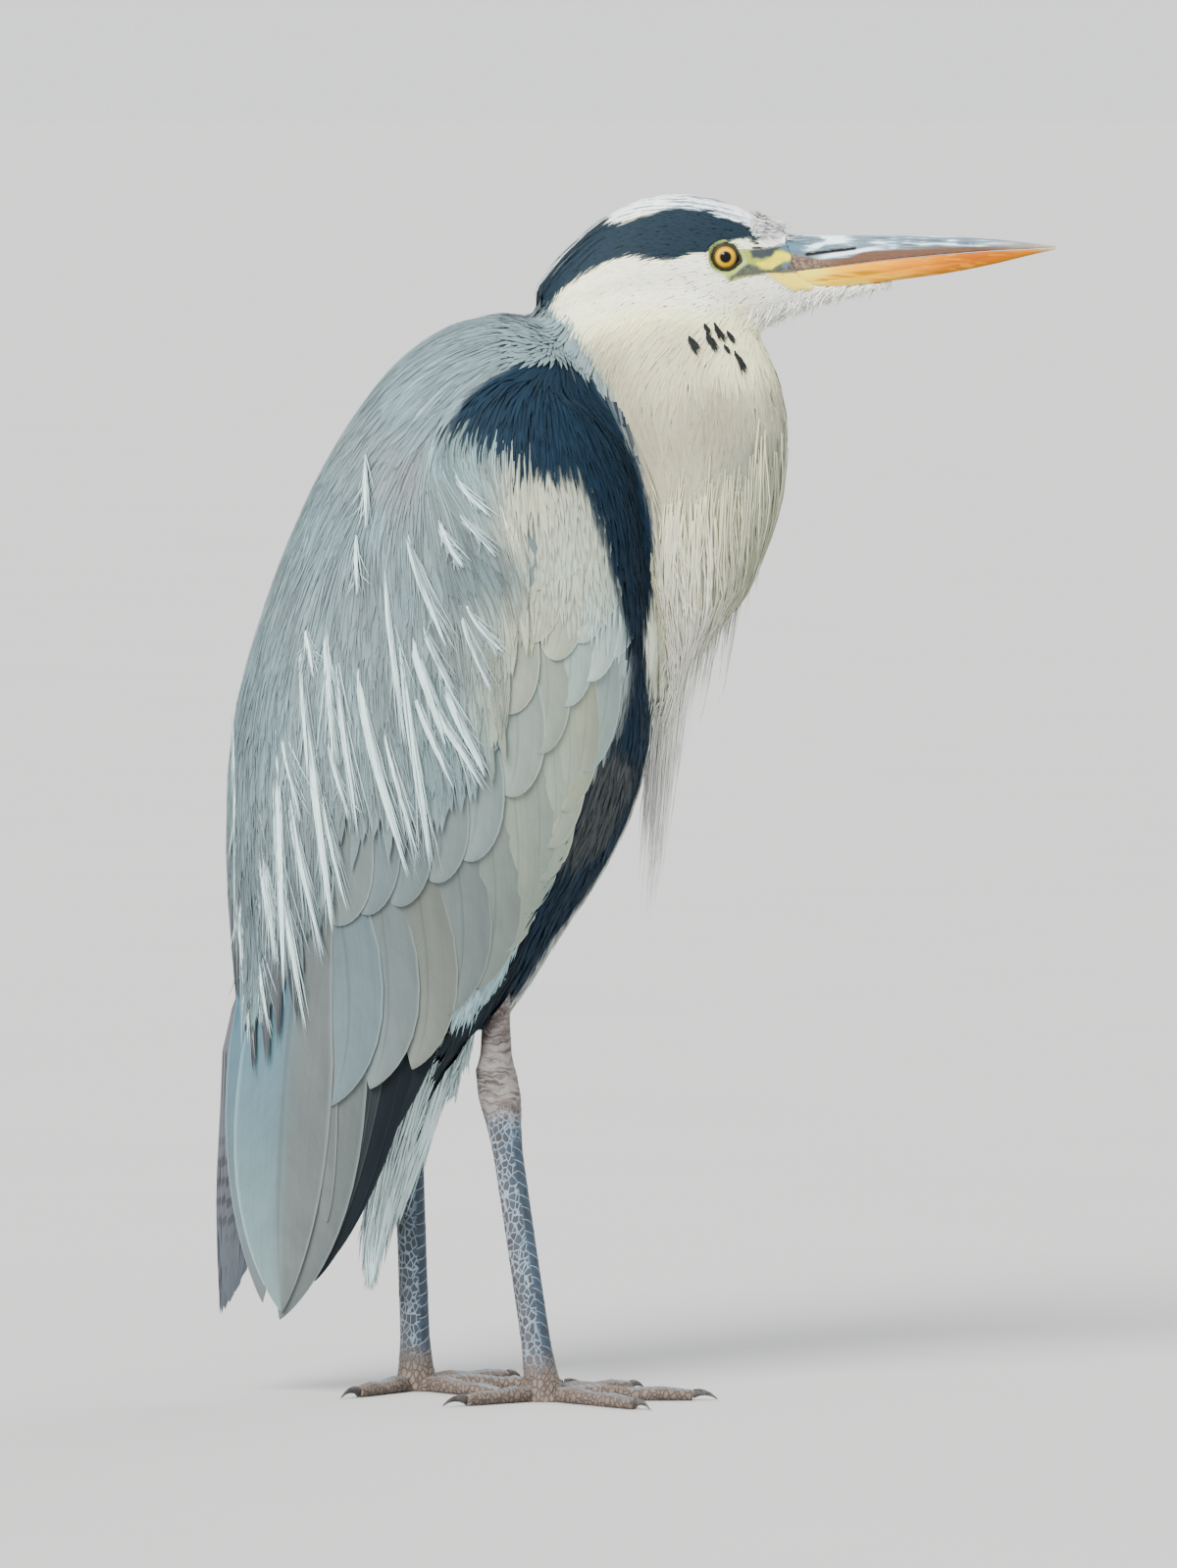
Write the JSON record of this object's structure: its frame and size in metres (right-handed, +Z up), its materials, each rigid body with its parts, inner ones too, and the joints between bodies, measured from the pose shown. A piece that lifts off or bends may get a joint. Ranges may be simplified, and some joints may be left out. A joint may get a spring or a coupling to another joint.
{
  "type": "heron figure",
  "caption": "Life-size still model of a grey heron standing hunched, neck drawn in, wings folded, long bill level, flat-footed on the ground.",
  "frame": {"origin": "on the ground under the middle of the bird's bounding box", "axes": "+X is the way the bill points, +Y the bird's left side, +Z up"},
  "size_m": [0.4031, 0.163, 0.5787],
  "materials": {
    "plumage_white": "soft matt feathers",
    "plumage_grey": "soft matt feathers",
    "horn": "worn horn, half matt",
    "bill_orange": "worn horn, half matt",
    "iris": "wet gloss",
    "leg_skin": "scaly, dry",
    "claw": "satin horn"
  },
  "bodies": {
    "root": {"bill_lower": "bill_orange", "bill_upper": "horn", "breast_plumes": "plumage_white", "claw_hind_left": "claw", "claw_hind_right": "claw", "claw_inner_left": "claw", "claw_inner_right": "claw", "claw_middle_left": "claw", "claw_middle_right": "claw", "claw_outer_left": "claw", "claw_outer_right": "claw", "eye_left": "iris", "eye_right": "iris", "head": "plumage_white", "neck_lower": "plumage_white", "neck_upper": "plumage_white", "shank_left": "leg_skin", "shank_right": "leg_skin", "shin_left": "leg_skin", "shin_right": "leg_skin", "tail": "plumage_grey", "toe_hind_left": "leg_skin", "toe_hind_right": "leg_skin", "toe_inner_left": "leg_skin", "toe_inner_right": "leg_skin", "toe_middle_left": "leg_skin", "toe_middle_right": "leg_skin", "toe_outer_left": "leg_skin", "toe_outer_right": "leg_skin", "trunk": "plumage_grey", "undertail": "plumage_white", "wing_left": "plumage_grey", "wing_right": "plumage_grey"}
  },
  "joints": []
}
